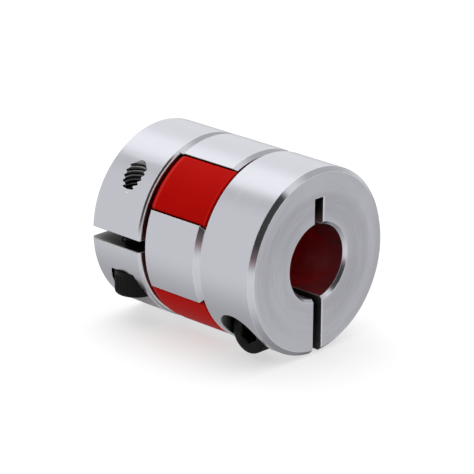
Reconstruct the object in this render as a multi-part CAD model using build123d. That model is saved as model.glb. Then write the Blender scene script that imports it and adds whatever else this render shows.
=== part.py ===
from build123d import *
import math
import os

# Clamp-type jaw coupling, 30 mm diameter and 35 mm long: two hubs that differ only in their screw's place,
# an elastic spider between their jaws, and an M4 clamp screw in each hub. X is the shaft axis and the
# origin is the coupling's centre on it. The driver hub is on the +X side with its slit downwards, and the
# driven hub is on the -X side.

# Driving dimensions, millimetres and degrees
OUTER_RADIUS = 15.0
LENGTH = 35.0
HUB_BODY = 11.0
BORE_RADIUS = 6.0
BORE_CHAMFER = 0.5
END_CHAMFER = 0.75
EDGE_BREAK = 0.12
TOUCH = 0.01

# Turned V groove at the foot of the jaws
GROOVE_DEPTH = 0.77
GROOVE_SHIFT = 0.42

# Jaws, two on each hub, with round pockets between them for the spider's legs
JAW_LENGTH = 12.15
JAW_INNER_RADIUS = 8.35
JAW_TIP_CHAMFER = 0.6
LEG_POCKET_RADIUS = 5.3
LEG_CENTRE_RADIUS = 12.8

# Clamp slit, carried on across the bore as a relief slit
SLIT_WIDTH = 1.88
RELIEF_REACH = 10.35

# Clamp screw's place in the hub, and its holes
DRIVER_SCREW_FROM_FACE = 5.6
DRIVER_SCREW_OFFSET = 10.5
DRIVEN_SCREW_FROM_FACE = 6.2
DRIVEN_SCREW_OFFSET = 10.95
SEAT_FROM_SLIT = 5.55
POCKET_RADIUS = 3.8
CLEARANCE_RADIUS = 2.25

# M4 thread, drawn as one ring a pitch
THREAD_RADIUS = 2.0
THREAD_DEPTH = 0.35
THREAD_PITCH = 0.7
THREAD_FLAT = 0.15
THREAD_CLEARANCE = 0.04
SCREW_TURNS = range(1, 17)
HUB_TURNS = range(8, 24)

# M4 x 12 socket head cap screw
SCREW_LENGTH = 12.0
HEAD_RADIUS = 3.4
HEAD_HEIGHT = 4.0
HEAD_CHAMFER = 0.4
SOCKET_ACROSS_FLATS = 3.0
SOCKET_DEPTH = 2.2

# Spider
LEG_RADIUS = 5.05
LEG_SIDE_ROUND = 0.4
DRIVEN_END_ROUND = 1.5
DRIVER_END_ROUND = 0.5
SPIDER_OUTER_RADIUS = 14.9
SPIDER_CORE_RADIUS = 8.1
SPIDER_HOLE_RADIUS = 3.75
SPIDER_LENGTH = 12.55
SPIDER_FROM_ROOT = 0.1
CORE_INSET = 0.5

# Worked out from the driving dimensions
JAW_TIP = HUB_BODY + JAW_LENGTH
GROOVE_CENTRE = HUB_BODY + GROOVE_SHIFT
RIM_RADIUS = OUTER_RADIUS - GROOVE_DEPTH + GROOVE_SHIFT
HUB_END = LENGTH / 2
SPIDER_END = HUB_END - HUB_BODY - SPIDER_FROM_ROOT
SPIDER_START = SPIDER_END - SPIDER_LENGTH
LEG_ANGLES = (45, 135, 225, 315)


def turned(points, axis=Axis.X):
    """Solid turned from a closed outline of points."""
    return revolve(make_face(Polyline(*points, close=True)), axis=axis)


def rod_x(radius, start, end):
    """Round rod along X between two x values."""
    return Pos(start, 0, 0) * Rot(0, 90, 0) * extrude(Circle(radius), end - start)


def leg_rods(radius, start, end):
    """Four round rods along X, one at the middle of each spider leg."""
    rods = Part()
    for angle in LEG_ANGLES:
        rods += Rot(angle, 0, 0) * Pos(0, LEG_CENTRE_RADIUS, 0) * rod_x(radius, start, end)
    return rods


def hub_blank():
    """Turned bar: the body with its bore, the V groove, and the ring that the jaws are milled from."""
    outline = [
        (0, BORE_RADIUS + BORE_CHAMFER),
        (0, OUTER_RADIUS - END_CHAMFER),
        (-END_CHAMFER, OUTER_RADIUS),
        (-GROOVE_CENTRE + GROOVE_DEPTH, OUTER_RADIUS),
        (-GROOVE_CENTRE, OUTER_RADIUS - GROOVE_DEPTH),
        (-GROOVE_CENTRE - GROOVE_DEPTH, OUTER_RADIUS),
        (-JAW_TIP + JAW_TIP_CHAMFER, OUTER_RADIUS),
        (-JAW_TIP, OUTER_RADIUS - JAW_TIP_CHAMFER),
        (-JAW_TIP, JAW_INNER_RADIUS),
        (-HUB_BODY, JAW_INNER_RADIUS),
        (-HUB_BODY, BORE_RADIUS),
        (-BORE_CHAMFER, BORE_RADIUS),
    ]
    return turned(outline)


def jaw_windows():
    """Metal milled out of the ring: the leg pockets, and the room above and below for the other jaws."""
    end = JAW_TIP + 1
    room = 2 * OUTER_RADIUS
    windows = leg_rods(LEG_POCKET_RADIUS, -end, -HUB_BODY)
    for side in (1, -1):
        corner_on_axis = Pos(-(end + HUB_BODY) / 2, 0, side * room / math.sqrt(2))
        windows += corner_on_axis * Rot(45, 0, 0) * Box(end - HUB_BODY, room, room)
    return windows


def clamp_slit():
    """Slit from below through the bore to the end of the relief slit above it."""
    height = OUTER_RADIUS + 1 + RELIEF_REACH
    return Pos(-HUB_BODY / 2, 0, RELIEF_REACH - height / 2) * Box(HUB_BODY + 2, SLIT_WIDTH, height)


def thread_points(turns, clearance):
    """(radius, z) points of ring threads, on one grid counted from the screw's seat at z = 0."""
    crest = THREAD_RADIUS + clearance
    root = crest - THREAD_DEPTH
    points = []
    for turn in turns:
        start = turn * THREAD_PITCH
        end = start + THREAD_PITCH
        flank = (THREAD_PITCH - 2 * THREAD_FLAT) / 2
        points += [
            (root, start + THREAD_FLAT / 2),
            (crest, start + THREAD_FLAT / 2 + flank),
            (crest, end - THREAD_FLAT / 2 - flank),
            (root, end - THREAD_FLAT / 2),
        ]
    return points


def turned_z(points):
    """Solid turned about Z from a closed outline of (radius, z) points."""
    face = make_face(Plane.XZ * Polyline(*points, close=True))
    return revolve(face, axis=Axis.Z)


def screw_holes():
    """Pocket, clearance hole and tapped hole in the screw's frame: seat at z = 0, tip towards +Z."""
    rings = thread_points(HUB_TURNS, THREAD_CLEARANCE)
    mouth = (rings[-1][0], 2 * OUTER_RADIUS)
    tapped = turned_z([(0, rings[0][1]), *rings, mouth, (0, mouth[1])])
    pocket = extrude(Circle(POCKET_RADIUS), -OUTER_RADIUS)
    clearance = extrude(Circle(CLEARANCE_RADIUS), SEAT_FROM_SLIT)
    return pocket + clearance + tapped


def clamp_screw():
    """Socket head cap screw in its own frame: seat at z = 0, tip towards +Z."""
    rings = thread_points(SCREW_TURNS, 0)
    root = THREAD_RADIUS - THREAD_DEPTH
    outline = [
        (0, -HEAD_HEIGHT),
        (HEAD_RADIUS - HEAD_CHAMFER, -HEAD_HEIGHT),
        (HEAD_RADIUS, -HEAD_HEIGHT + HEAD_CHAMFER),
        (HEAD_RADIUS, 0),
        (THREAD_RADIUS, 0),
        (THREAD_RADIUS, THREAD_PITCH / 2),
        *rings,
        (root, SCREW_LENGTH),
        (0, SCREW_LENGTH),
    ]
    socket_radius = SOCKET_ACROSS_FLATS / math.sqrt(3)
    socket = Pos(0, 0, -HEAD_HEIGHT) * extrude(RegularPolygon(socket_radius, 6), SOCKET_DEPTH)
    return turned_z(outline) - socket


def screw_place(from_face, offset):
    """Where the screw sits in a hub: seat on the -Y side of the slit, tip towards +Y."""
    seat = (-from_face, -SEAT_FROM_SLIT, -offset)
    return Plane(origin=seat, x_dir=(1, 0, 0), z_dir=(0, 1, 0)).location


def both_ends(edge, test):
    """True where both ends of an edge pass a test."""
    return test(edge @ 0) and test(edge @ 1)


def on_outside(point):
    """True on the hub's outer cylinder, away from the cylinder's seam at z = 0."""
    return abs(math.hypot(point.Y, point.Z) - OUTER_RADIUS) < TOUCH and abs(point.Z) > TOUCH


def on_end_face(point):
    """True on the hub's end face."""
    return abs(point.X) < TOUCH


def on_rim(point):
    """True on the hub's rim, where the groove cuts the face behind the jaws."""
    return abs(point.X + HUB_BODY) < TOUCH and abs(math.hypot(point.Y, point.Z) - RIM_RADIUS) < TOUCH


def sharp_edges(piece):
    """Edges to break: straight ones outside, the slit's on the end face, the rim, and the pocket's edge."""
    straight = piece.edges().filter_by(GeomType.LINE)
    round_edges = piece.edges().filter_by(GeomType.CIRCLE)
    curved = piece.edges().filter_by(GeomType.BSPLINE)
    outside = straight.filter_by(lambda edge: both_ends(edge, on_outside))
    end_face = straight.filter_by(lambda edge: both_ends(edge, on_end_face))
    rim = round_edges.filter_by(lambda edge: both_ends(edge, on_rim))
    pocket = curved.filter_by(lambda edge: edge.length > 4 * POCKET_RADIUS and on_outside(edge @ 0.5))
    return outside + end_face + rim + pocket


def hub(place):
    """Clamp hub in its own frame: end face at x = 0, body towards -X, jaws at +Y and -Y, slit downwards."""
    milled = hub_blank() - jaw_windows() - clamp_slit() - place * screw_holes()
    return chamfer(sharp_edges(milled), EDGE_BREAK)


def leg():
    """Spider leg at +Y: a round rod cut to the outer radius, with rounded sides and ends."""
    rod = Pos(0, LEG_CENTRE_RADIUS, 0) * rod_x(LEG_RADIUS, SPIDER_START, SPIDER_END)
    blank = rod & rod_x(SPIDER_OUTER_RADIUS, SPIDER_START, SPIDER_END)
    sides = blank.edges().filter_by(GeomType.LINE).filter_by(lambda edge: abs((edge @ 0).Z) > TOUCH)
    blank = fillet(sides, LEG_SIDE_ROUND)
    for x, radius in ((SPIDER_START, DRIVEN_END_ROUND), (SPIDER_END, DRIVER_END_ROUND)):
        ends = blank.edges().filter_by(lambda edge: both_ends(edge, lambda point: abs(point.X - x) < TOUCH))
        blank = fillet(ends, radius)
    return blank


def spider():
    """Elastic element: four legs on a ring with a hole through it."""
    legs = Part()
    for angle in LEG_ANGLES:
        legs += Rot(angle, 0, 0) * leg()
    core = rod_x(SPIDER_CORE_RADIUS, SPIDER_START + CORE_INSET, SPIDER_END - CORE_INSET)
    return legs + core - rod_x(SPIDER_HOLE_RADIUS, SPIDER_START - 1, SPIDER_END + 1)


def nodes():
    """Every piece of the coupling, named and in its place."""
    driver_place = Pos(HUB_END, 0, 0)
    # The driven hub is turned end for end, then a quarter turn about the shaft axis
    driven_place = Pos(-HUB_END, 0, 0) * Rot(-90, 0, 0) * Rot(0, 0, 180)
    driver_screw = screw_place(DRIVER_SCREW_FROM_FACE, DRIVER_SCREW_OFFSET)
    driven_screw = screw_place(DRIVEN_SCREW_FROM_FACE, DRIVEN_SCREW_OFFSET)
    return {
        "driver_hub": driver_place * hub(driver_screw),
        "driven_hub": driven_place * hub(driven_screw),
        "spider": spider(),
        "driver_clamp_screw": driver_place * driver_screw * clamp_screw(),
        "driven_clamp_screw": driven_place * driven_screw * clamp_screw(),
    }


os.makedirs("parts", exist_ok=True)
for name, piece in nodes().items():
    export_step(piece, f"parts/{name}.step")
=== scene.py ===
import math
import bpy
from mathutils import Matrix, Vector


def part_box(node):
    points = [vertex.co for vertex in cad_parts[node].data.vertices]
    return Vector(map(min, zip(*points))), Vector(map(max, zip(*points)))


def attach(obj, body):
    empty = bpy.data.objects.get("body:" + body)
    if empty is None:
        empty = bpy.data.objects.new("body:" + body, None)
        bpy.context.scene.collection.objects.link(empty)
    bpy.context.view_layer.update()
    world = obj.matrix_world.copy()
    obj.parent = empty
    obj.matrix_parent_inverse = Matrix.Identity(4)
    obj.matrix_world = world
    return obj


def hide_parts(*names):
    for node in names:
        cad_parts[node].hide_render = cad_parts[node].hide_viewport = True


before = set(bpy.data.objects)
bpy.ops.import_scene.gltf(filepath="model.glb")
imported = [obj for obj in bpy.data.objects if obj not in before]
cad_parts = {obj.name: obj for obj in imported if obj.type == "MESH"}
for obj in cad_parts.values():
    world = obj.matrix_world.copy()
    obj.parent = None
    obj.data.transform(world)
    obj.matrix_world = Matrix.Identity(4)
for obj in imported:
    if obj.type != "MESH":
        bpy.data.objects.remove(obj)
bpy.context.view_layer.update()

from types import SimpleNamespace

import bpy
from mathutils import Matrix, Vector

# Everything is in metres. X is the shaft axis, and the origin is the coupling's centre on it.
MM = 0.001

# Camera, with its angles in degrees
LENS_MM = 222.0
SENSOR_MM = 36.0
CAMERA_AZIMUTH = 43.96
CAMERA_ELEVATION = 20.01
CAMERA_ROLL = 0.41
CAMERA_DISTANCE = 0.458
CAMERA_SHIFT = (0.00135, -0.0051)

# Hubs, as in the CAD model. Their slits, screw pockets and screw holes are looked for between two distances
# from the coupling's middle: past the groove at the jaws' feet, and short of the end chamfer.
OUTER_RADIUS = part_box("driver_hub")[1].z
BORE_RADIUS = 6.0 * MM
HOLLOWS_FROM = 7.0 * MM
HOLLOWS_TO = 16.6 * MM

# Widths over which one surface's look turns into the next
FADE = 0.1 * MM
BORE_FADE = 0.3 * MM

# M4 socket head cap screw, as in the CAD model, with a knurled head. Its angles are in degrees.
HEAD_RADIUS = 3.4 * MM
HEAD_HEIGHT = 4.0 * MM
HEAD_CHAMFER = 0.4 * MM
HEAD_ROUND_CORNERS = (30, 60)
SOCKET_FLATS = 3.0 * MM
SOCKET_DEPTH = 2.2 * MM
SOCKET_LEAD_IN = 0.18 * MM
KNURL_TEETH = 48
KNURL_DEPTH = 0.14 * MM
KNURL_FOOT = 0.5 * MM
KNURL_STEPS = 6
SEAT_CHAMFER = KNURL_FOOT / 4
THREAD_RADIUS = 2.0 * MM
THREAD_DEPTH = 0.35 * MM
THREAD_PITCH = 0.7 * MM
THREAD_FLAT = 0.15 * MM
THREAD_TURNS = range(1, 17)
SCREW_LENGTH = 12.0 * MM
SHARP_ANGLE = 32

# Colours of the aluminium: outside, end faces, milled hollows, the painted highlight on broken edges, and the
# painted red reflection and shade beside the red spider
TURNED = (0.790, 0.797, 0.862, 1)
FACED = (0.76, 0.765, 0.825, 1)
MILLED = (0.42, 0.41, 0.41, 1)
PAINTED_EDGE_HIGHLIGHT = (0.97, 0.97, 0.98, 1)
PAINTED_RED_SHADE = (0.5, 0.07, 0.07, 1)

# Colours of the polyurethane, with its painted highlight, and of the black oxide
RED_DEEP = (0.36, 0.0016, 0.0006, 1)
RED_BRIGHT = (0.44, 0.0025, 0.0010, 1)
RED_PAINTED_HIGHLIGHT = (0.54, 0.035, 0.025, 1)
OXIDE_DARK = (0.004, 0.0038, 0.0038, 1)
OXIDE_LIGHT = (0.013, 0.012, 0.012, 1)
OXIDE_RUBBED = (0.05, 0.048, 0.048, 1)

# Moves the tool rings' noise, so that its lattice planes don't pass through the shaft axis and show there
RING_SHIFT = (0.1237, 0.0712, 0.0457)

# Stage
FLOOR_HALF_WIDTH = 4.0
FLOOR_COLOUR = (0.4, 0.4, 0.4, 1)
FLOOR_GLOW = 0.58
SOFTBOX_PLACE = (-0.1, 0.1, 0.8)
SOFTBOX_SIDE = 1.6
SOFTBOX_POWER = 12.0
WHITE = (1, 1, 1, 1)
WARM = (1.0, 0.74, 0.78, 1)


# Node helpers

def node(tree, kind, inputs=(), **settings):
    """Adds a shader node. inputs holds (input, value or socket) pairs."""
    made = tree.nodes.new("ShaderNode" + kind)
    for key, value in settings.items():
        setattr(made, key, value)
    for key, value in inputs:
        if isinstance(value, bpy.types.NodeSocket):
            tree.links.new(value, made.inputs[key])
        else:
            made.inputs[key].default_value = value
    return made


def maths(tree, operation, *values):
    """Result of a math node."""
    return node(tree, "Math", enumerate(values), operation=operation).outputs[0]


def product(tree, *values):
    """Product of two or more numbers."""
    total = values[0]
    for value in values[1:]:
        total = maths(tree, "MULTIPLY", total, value)
    return total


def step(tree, value, low, high, to_low=0.0, to_high=1.0):
    """Smooth step from to_low at low to to_high at high."""
    source = [("Value", value), ("From Min", low), ("From Max", high)]
    target = [("To Min", to_low), ("To Max", to_high)]
    return node(tree, "MapRange", source + target, interpolation_type="SMOOTHSTEP").outputs["Result"]


def mix(tree, factor, low, high):
    """Number between low and high."""
    return node(tree, "Mix", [(0, factor), (2, low), (3, high)], data_type="FLOAT").outputs[0]


def mix_colour(tree, factor, low, high):
    """Colour between low and high."""
    return node(tree, "Mix", [(0, factor), (6, low), (7, high)], data_type="RGBA").outputs[2]


def scaled(tree, vector, factor):
    """Vector or colour times a number."""
    return node(tree, "VectorMath", [(0, vector), ("Scale", factor)], operation="SCALE").outputs[0]


def dot(tree, one, other):
    """Dot product of two vectors."""
    return node(tree, "VectorMath", [(0, one), (1, other)], operation="DOT_PRODUCT").outputs["Value"]


def split(tree, vector):
    """X, Y and Z of a vector."""
    return node(tree, "SeparateXYZ", [(0, vector)]).outputs


def joined(tree, x, y, z):
    """Vector from its X, Y and Z."""
    return node(tree, "CombineXYZ", [(0, x), (1, y), (2, z)]).outputs[0]


def noise(tree, vector, scale, detail, roughness):
    """Value of a 3-D noise."""
    inputs = [("Vector", vector), ("Scale", scale), ("Detail", detail), ("Roughness", roughness)]
    return node(tree, "TexNoise", inputs).outputs["Fac"]


def openness(tree, reach):
    """1 on open surfaces, down to 0 deep inside a hole, slit or groove."""
    return node(tree, "AmbientOcclusion", [("Distance", reach)], samples=8).outputs["AO"]


def bevelled(tree, radius):
    """Normal that rounds the edges by a radius."""
    return node(tree, "Bevel", [("Radius", radius)], samples=6).outputs[0]


def flatness(tree, bevel):
    """1 on flat surfaces, less within reach of an edge that the bevelled normal rounds."""
    return dot(tree, bevel, node(tree, "NewGeometry").outputs["Normal"])


def bumped(tree, height, normal, strength, depth):
    """Normal with a bump on it."""
    inputs = [("Strength", strength), ("Distance", depth), ("Height", height), ("Normal", normal)]
    return node(tree, "Bump", inputs).outputs[0]


def new_material(name):
    """Empty material with its shader and output linked: (material, tree, shader)."""
    material = bpy.data.materials.new(name)
    material.use_nodes = True
    tree = material.node_tree
    tree.nodes.clear()
    shader = node(tree, "BsdfPrincipled")
    output = node(tree, "OutputMaterial")
    tree.links.new(shader.outputs["BSDF"], output.inputs["Surface"])
    return material, tree, shader


def feed(tree, shader, **sockets):
    """Links sockets to the shader's inputs, or sets plain values."""
    for name, value in sockets.items():
        target = shader.inputs[name.replace("_", " ")]
        if isinstance(value, bpy.types.NodeSocket):
            tree.links.new(value, target)
        else:
            target.default_value = value


# Aluminium

def hub_surfaces(tree):
    """Where each kind of surface is on a hub, from 0 to 1, with the measures that tell them apart."""
    coordinates = node(tree, "TexCoord")
    place = coordinates.outputs["Object"]
    normal = coordinates.outputs["Normal"]
    x, y, z = split(tree, place)
    from_axis = joined(tree, 0.0, y, z)
    radius = node(tree, "VectorMath", [(0, from_axis)], operation="LENGTH").outputs["Value"]
    from_middle = maths(tree, "ABSOLUTE", x)
    facing_end = maths(tree, "ABSOLUTE", split(tree, normal)[0])
    facing_out = maths(tree, "ABSOLUTE", maths(tree, "DIVIDE", dot(tree, normal, from_axis), radius))

    # Flats across the shaft, the cones of chamfers and groove, and the bore
    face = step(tree, facing_end, 0.85, 0.95)
    cone = product(tree, step(tree, facing_end, 0.55, 0.65), step(tree, facing_end, 0.85, 0.75))
    bore = step(tree, radius, BORE_RADIUS + 2 * BORE_FADE, BORE_RADIUS + BORE_FADE)

    # Slits, screw pocket and screw holes: whatever is inside the wall of the hub's body
    along_body = product(tree, step(tree, from_middle, HOLLOWS_FROM - FADE, HOLLOWS_FROM + FADE),
                         step(tree, from_middle, HOLLOWS_TO + FADE, HOLLOWS_TO - FADE))
    in_wall = product(tree, step(tree, radius, BORE_RADIUS + BORE_FADE, BORE_RADIUS + 2 * BORE_FADE),
                      step(tree, radius, OUTER_RADIUS - FADE / 2, OUTER_RADIUS - 3 * FADE / 2))
    hollow = product(tree, along_body, in_wall)
    skin = maths(tree, "SUBTRACT", 1.0, hollow)

    # Milled: those hollows, and the jaws' sides, which face neither outwards nor along the shaft
    jaw_side = product(tree, step(tree, facing_out, 0.97, 0.9), step(tree, facing_end, 0.4, 0.3))
    milled = maths(tree, "MAXIMUM", jaw_side, hollow)
    return SimpleNamespace(place=place, x=x, y=y, z=z, radius=radius, facing_end=facing_end,
                           face=face, cone=cone, bore=bore, skin=skin, milled=milled)


def ring_coordinates(tree, hub):
    """Coordinates that turn a noise into tool rings: quick across the cut, slow along it."""
    across = mix(tree, hub.face, hub.x, hub.radius)
    slow = mix(tree, hub.face, 0.02, 0.08)
    stretched = joined(tree, across, product(tree, hub.y, slow), product(tree, hub.z, slow))
    return node(tree, "VectorMath", [(0, stretched), (1, RING_SHIFT)], operation="ADD").outputs[0]


def aluminium_edge_highlights(tree, hub, bevel):
    """Where the edges get a painted highlight: broken corners, and the narrow rim between an end face and its
    chamfer.
    """
    corner = step(tree, flatness(tree, bevel), 0.995, 0.93)
    rim = product(tree, step(tree, hub.facing_end, 0.86, 0.9), step(tree, hub.facing_end, 0.98, 0.95))
    return maths(tree, "MAXIMUM", corner, product(tree, rim, hub.skin))


def aluminium_roughness(tree, hub, broad):
    """Roughness of each surface, a little uneven with smudges and with the broad tool rings."""
    smudge = noise(tree, hub.place, scale=170.0, detail=3.0, roughness=0.6)
    rough = mix(tree, hub.face, 0.24, 0.38)
    rough = mix(tree, hub.cone, rough, 0.13)
    rough = mix(tree, hub.bore, rough, 0.22)
    rough = mix(tree, hub.milled, rough, 0.45)
    rough = maths(tree, "ADD", rough, mix(tree, smudge, -0.03, 0.04))
    return maths(tree, "ADD", rough, mix(tree, broad, -0.06, 0.06))


def aluminium_tone(tree, hub, rings, broad, bands):
    """Brightness of the tool rings, near 1: faint outside, strong on the faces, where patches are worn."""
    patches = noise(tree, hub.place, scale=110.0, detail=2.0, roughness=0.5)
    kept = mix(tree, hub.face, 1.0, step(tree, patches, 0.38, 0.62, 0.35, 1.15))
    ringed = mix(tree, rings, mix(tree, hub.face, 0.97, 0.76), mix(tree, hub.face, 1.03, 1.16))
    banded = mix(tree, hub.face, 1.0, step(tree, bands, 0.35, 0.65, 0.91, 1.06))
    scored = mix(tree, product(tree, step(tree, broad, 0.58, 0.66), hub.face), 1.0, 0.92)
    return product(tree, mix(tree, kept, 1.0, ringed), banded, scored)


def aluminium_colour(tree, hub, tone, edge_highlight):
    """Colour of each surface, with painted shade in the hollows and bore, a painted red reflection in the
    shade beside the spider, and painted highlights at the edges.
    """
    colour = mix_colour(tree, hub.face, TURNED, FACED)
    colour = mix_colour(tree, hub.milled, colour, MILLED)
    # Painted shade: darker deep inside the milled hollows and the bore, by how little is open around
    painted_shade_hollows = maths(tree, "MAXIMUM", hub.milled, hub.bore)
    shade = mix(tree, painted_shade_hollows, 1.0, step(tree, openness(tree, 3.0 * MM), 0.3, 0.85, 0.02, 1.0))
    # Painted shade with a painted red reflection of the spider, on the faces in the narrow gaps beside it
    red_shade_beside_spider = product(tree, hub.face, hub.skin, step(tree, openness(tree, 1.5 * MM), 0.85, 0.2))
    colour = scaled(tree, scaled(tree, colour, tone), shade)
    colour = mix_colour(tree, red_shade_beside_spider, colour, PAINTED_RED_SHADE)
    # Painted highlight on the edges, dimmed where the painted shade falls
    return mix_colour(tree, product(tree, edge_highlight, shade), colour, PAINTED_EDGE_HIGHLIGHT)


def turned_aluminium(name):
    """Turned aluminium: tool rings round the shaft, polished cones, milled hollows with painted shade, and
    painted highlights at the edges.
    """
    material, tree, shader = new_material(name)
    hub = hub_surfaces(tree)
    place = ring_coordinates(tree, hub)
    broad = noise(tree, place, scale=900.0, detail=3.0, roughness=0.65)
    fine = noise(tree, place, scale=4200.0, detail=1.0, roughness=0.6)
    bands = noise(tree, place, scale=330.0, detail=2.0, roughness=0.5)
    rings = mix(tree, mix(tree, hub.face, 0.1, 0.3), broad, fine)
    cutter_marks = noise(tree, hub.place, scale=2600.0, detail=3.0, roughness=0.7)

    bevel = bevelled(tree, 0.15 * MM)
    # Mask for the painted edge highlights
    edge_highlight = aluminium_edge_highlights(tree, hub, bevel)
    strength = mix(tree, hub.cone, mix(tree, hub.face, 0.05, 0.5), 0.03)
    normal = bumped(tree, mix(tree, hub.milled, rings, cutter_marks), bevel, strength, depth=0.008 * MM)
    tone = aluminium_tone(tree, hub, rings, broad, bands)
    tangent = node(tree, "Tangent", direction_type="RADIAL", axis="X").outputs[0]
    # Painted edge highlight: the edges are less metallic, so their near-white colour shows
    feed(tree, shader, Base_Color=aluminium_colour(tree, hub, tone, edge_highlight), Metallic=mix(tree, edge_highlight, 1.0, 0.2),
         Roughness=aluminium_roughness(tree, hub, broad), Anisotropic=0.55, Anisotropic_Rotation=0.25,
         Normal=normal, Tangent=tangent)
    return material


# Spider and screws

def red_polyurethane(name):
    """Moulded polyurethane: deep red, satin, with faint flow marks, a painted highlight along the legs'
    rounded ends and painted shade in the gaps.
    """
    material, tree, shader = new_material(name)
    coordinates = node(tree, "TexCoord")
    place = coordinates.outputs["Object"]
    facing_end = maths(tree, "ABSOLUTE", split(tree, coordinates.outputs["Normal"])[0])
    mottle = noise(tree, place, scale=260.0, detail=4.0, roughness=0.6)
    grain = noise(tree, place, scale=2600.0, detail=3.0, roughness=0.6)
    bevel = bevelled(tree, 0.25 * MM)
    normal = bumped(tree, mix(tree, 0.2, mottle, grain), bevel, strength=0.35, depth=0.04 * MM)

    # Painted highlight where a leg's rounded end begins to turn away
    painted_highlight = product(tree, step(tree, facing_end, 0.04, 0.14), step(tree, facing_end, 0.34, 0.18), 0.6)
    colour = mix_colour(tree, mottle, RED_DEEP, RED_BRIGHT)
    colour = mix_colour(tree, painted_highlight, colour, RED_PAINTED_HIGHLIGHT)
    # Painted shade: darker in the gaps and against the hubs, by how little is open around
    colour = scaled(tree, colour, step(tree, openness(tree, 2.0 * MM), 0.2, 0.85, 0.3, 1.0))
    feed(tree, shader, Base_Color=colour, Roughness=mix(tree, mottle, 0.38, 0.5), Specular_IOR_Level=0.02,
         Normal=normal)
    return material


def black_oxide(name):
    """Black oxide on steel, lightly oiled, rubbed brighter along the edges."""
    material, tree, shader = new_material(name)
    place = node(tree, "TexCoord").outputs["Object"]
    cloud = noise(tree, place, scale=600.0, detail=4.0, roughness=0.6)
    bevel = bevelled(tree, 0.08 * MM)
    normal = bumped(tree, cloud, bevel, strength=0.4, depth=0.01 * MM)
    rubbed = product(tree, step(tree, flatness(tree, bevel), 0.99, 0.92), 0.5)
    colour = mix_colour(tree, cloud, OXIDE_DARK, OXIDE_LIGHT)
    colour = mix_colour(tree, rubbed, colour, OXIDE_RUBBED)
    feed(tree, shader, Base_Color=colour, Metallic=0.2, Roughness=mix(tree, cloud, 0.38, 0.52),
         Specular_IOR_Level=0.12, Normal=normal)
    return material


def dress(piece, material):
    """Gives a piece one material."""
    piece.data.materials.clear()
    piece.data.materials.append(material)


# Objects

def add_object(name, data, placement=Matrix.Identity(4)):
    """Adds an object to the scene."""
    made = bpy.data.objects.new(name, data)
    made.matrix_world = placement
    bpy.context.scene.collection.objects.link(made)
    return made


def aimed(direction, axis):
    """Rotation that points an object's own axis in a direction."""
    return direction.to_track_quat(axis, "Y").to_matrix().to_4x4()


# Screws

def round_ring(radius):
    """Radius all round, for a plain turned ring."""
    return lambda angle: radius


def hexagon_ring(across_flats):
    """Radius all round, for a hexagon."""
    sector = math.pi / 3
    return lambda angle: across_flats / 2 / math.cos((angle + sector / 2) % sector - sector / 2)


def knurled_ring(radius, depth):
    """Radius all round, for a ring of pointed teeth that reach out to radius."""
    def tooth(angle):
        phase = angle * KNURL_TEETH / (2 * math.pi) % 1
        return radius - depth * abs(1 - 2 * phase)
    return tooth


def screw_rings():
    """Rings as (z, radius all round), from the socket round the outside to the tip. The seat is z = 0."""
    top = -HEAD_HEIGHT
    lead_in = SOCKET_FLATS / math.sqrt(3) + SOCKET_LEAD_IN / 2
    root = THREAD_RADIUS - THREAD_DEPTH
    rings = [
        (top + SOCKET_DEPTH, hexagon_ring(SOCKET_FLATS)),
        (top + SOCKET_LEAD_IN, hexagon_ring(SOCKET_FLATS)),
        (top, round_ring(lead_in)),
        (top, round_ring(HEAD_RADIUS - HEAD_CHAMFER)),
    ]
    for corner in HEAD_ROUND_CORNERS:
        turn = math.radians(corner)
        inset = HEAD_CHAMFER * (1 - math.sin(turn))
        rings.append((top + HEAD_CHAMFER * (1 - math.cos(turn)), round_ring(HEAD_RADIUS - inset)))
    body = HEAD_HEIGHT - HEAD_CHAMFER - KNURL_FOOT
    for level in range(KNURL_STEPS + 1):
        share = level / KNURL_STEPS
        depth = KNURL_DEPTH if 0 < level < KNURL_STEPS else 0
        rings.append((top + HEAD_CHAMFER + body * share, knurled_ring(HEAD_RADIUS, depth)))
    rings += [
        (-SEAT_CHAMFER, round_ring(HEAD_RADIUS)),
        (0, round_ring(HEAD_RADIUS - SEAT_CHAMFER)),
        (0, round_ring(THREAD_RADIUS)),
        (THREAD_PITCH / 2, round_ring(THREAD_RADIUS)),
    ]
    flank = THREAD_PITCH / 2 - THREAD_FLAT
    for turn in THREAD_TURNS:
        start = turn * THREAD_PITCH + THREAD_FLAT / 2
        rings += [
            (start, round_ring(root)),
            (start + flank, round_ring(THREAD_RADIUS)),
            (start + flank + THREAD_FLAT, round_ring(THREAD_RADIUS)),
            (start + 2 * flank + THREAD_FLAT, round_ring(root)),
        ]
    rings.append((SCREW_LENGTH, round_ring(root)))
    return rings


def screw_mesh(name):
    """Closed mesh of the screw in its own frame: seat at z = 0, tip towards +Z."""
    columns = 4 * KNURL_TEETH
    angles = [2 * math.pi * column / columns for column in range(columns)]
    rings = screw_rings()
    points = []
    for z, ring in rings:
        points += [(ring(angle) * math.cos(angle), ring(angle) * math.sin(angle), z) for angle in angles]
    faces = []
    for row in range(len(rings) - 1):
        for column in range(columns):
            after = (column + 1) % columns
            this, following = row * columns, (row + 1) * columns
            faces.append((this + column, this + after, following + after, following + column))
    last = (len(rings) - 1) * columns
    faces += [tuple(reversed(range(columns))), tuple(range(last, last + columns))]
    mesh = bpy.data.meshes.new(name)
    mesh.from_pydata(points, [], faces)
    mesh.validate()
    mesh.shade_smooth()
    mesh.set_sharp_from_angle(angle=math.radians(SHARP_ANGLE))
    return mesh


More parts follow.
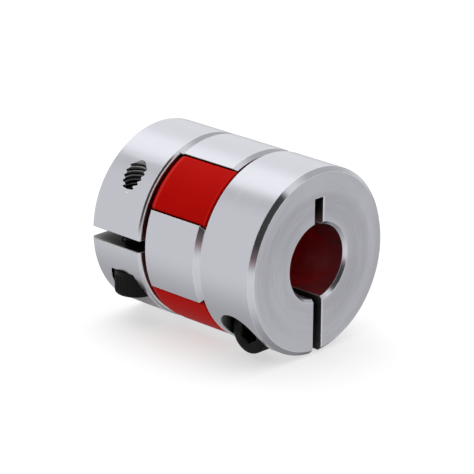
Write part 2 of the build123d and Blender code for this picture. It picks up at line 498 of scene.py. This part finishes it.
def cap_screw(name, stands_for, body, tip):
    """Detailed screw in the place of a plain one, with its tip towards the given direction."""
    low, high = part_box(stands_for)
    tip = Vector(tip)
    head_end = (low + high) / 2 - tip * (SCREW_LENGTH + HEAD_HEIGHT) / 2
    placement = Matrix.Translation(head_end + tip * HEAD_HEIGHT) @ aimed(tip, "Z")
    made = add_object(name, screw_mesh(name), placement)
    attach(made, body)
    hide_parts(stands_for)
    return made


# Stage

def camera():
    """Camera at the product picture's angle, looking at the coupling's centre."""
    azimuth = math.radians(CAMERA_AZIMUTH)
    elevation = math.radians(CAMERA_ELEVATION)
    level = math.cos(elevation)
    back = Vector((math.sin(azimuth) * level, -math.cos(azimuth) * level, math.sin(elevation)))
    roll = Matrix.Rotation(math.radians(CAMERA_ROLL), 4, "Z")
    data = bpy.data.cameras.new("camera")
    data.lens = LENS_MM
    data.sensor_width = SENSOR_MM
    data.shift_x, data.shift_y = CAMERA_SHIFT
    placement = Matrix.Translation(back * CAMERA_DISTANCE) @ aimed(-back, "-Z") @ roll
    bpy.context.scene.camera = add_object("camera", data, placement)


def floor():
    """Plain white light table that the coupling rests on."""
    half = FLOOR_HALF_WIDTH
    corners = [(x, y, -OUTER_RADIUS) for x, y in ((-half, -half), (half, -half), (half, half), (-half, half))]
    mesh = bpy.data.meshes.new("floor")
    mesh.from_pydata(corners, [], [(0, 1, 2, 3)])
    made = add_object("floor", mesh)
    material, tree, shader = new_material("floor_white")
    feed(tree, shader, Base_Color=FLOOR_COLOUR, Roughness=0.9, Specular_IOR_Level=0.0, Emission_Color=WHITE,
         Emission_Strength=FLOOR_GLOW)
    dress(made, material)
    made.visible_glossy = False


def studio_world():
    """Light tent: bright above and behind, softer at the front left, dark at the front right, pale below."""
    world = bpy.data.worlds.new("studio")
    world.use_nodes = True
    tree = world.node_tree
    tree.nodes.clear()
    x, y, z = split(tree, node(tree, "TexCoord").outputs["Generated"])

    # Upper half: a dark or soft front, and past it a bright panel that gives way to a dimmer back
    left = step(tree, x, 0.35, -0.35)
    front = mix(tree, left, 0.05, mix(tree, step(tree, y, -0.2, -0.45), 0.52, 0.68))
    panel = mix(tree, left, 0.76, 1.04)
    back = mix(tree, step(tree, x, 0.25, -0.5), 0.47, 0.84)
    behind = mix(tree, step(tree, y, 0.25, 0.55), panel, back)
    past_front = step(tree, maths(tree, "SUBTRACT", y, product(tree, x, 0.12)), -0.10, 0.06)
    above = mix(tree, past_front, front, behind)

    # Lower half: darkest straight down and low behind on the left, brighter on the right
    depth = mix(tree, step(tree, z, -0.3, -1.1), 0.68, 0.25)
    towards_back = step(tree, y, 0.2, 0.6, 1.0, 0.78)
    towards_right = step(tree, x, 0.2, 0.5, 1.0, 1.06)
    steep_right = product(tree, step(tree, x, 0.1, 0.45), step(tree, z, -0.4, -0.7))
    low_behind = product(tree, step(tree, y, 0.45, 0.65), step(tree, z, -0.18, -0.28),
                         step(tree, x, 0.0, -0.3))
    below = product(tree, depth, towards_back, towards_right, mix(tree, steep_right, 1.0, 1.2),
                    mix(tree, low_behind, 1.0, 0.5))

    # Warm patch at the horizon on the front right
    warm = product(tree, step(tree, z, -0.16, 0.02), step(tree, z, 0.24, 0.06), step(tree, x, 0.3, 0.6),
                   step(tree, y, -0.2, -0.5))
    level = mix(tree, step(tree, z, -0.22, 0.08), below, above)
    level = maths(tree, "ADD", level, product(tree, warm, 0.1))
    tint = mix_colour(tree, warm, WHITE, WARM)
    shader = node(tree, "Background", [("Color", scaled(tree, tint, level))])
    output = node(tree, "OutputWorld")
    tree.links.new(shader.outputs[0], output.inputs["Surface"])
    bpy.context.scene.world = world


def softbox():
    """Soft area light that lights the floor and the matt parts, and isn't mirrored in the metal."""
    data = bpy.data.lights.new("overhead", "AREA")
    data.size = SOFTBOX_SIDE
    data.energy = SOFTBOX_POWER
    place = Vector(SOFTBOX_PLACE)
    made = add_object("overhead", data, Matrix.Translation(place) @ aimed(-place, "-Z"))
    made.visible_camera = False
    made.visible_glossy = False


camera()
floor()
studio_world()
softbox()
bpy.context.scene.view_settings.view_transform = "Standard"

aluminium = turned_aluminium("turned_aluminium")
for name in ("driver_hub", "driven_hub"):
    dress(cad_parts[name], aluminium)
dress(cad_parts["spider"], red_polyurethane("red_polyurethane"))
oxide = black_oxide("black_oxide")
screws = (
    cap_screw("driver_cap_screw", "driver_clamp_screw", "driver_screw", (0, 1, 0)),
    cap_screw("driven_cap_screw", "driven_clamp_screw", "driven_screw", (0, 0, 1)),
)
for screw in screws:
    dress(screw, oxide)
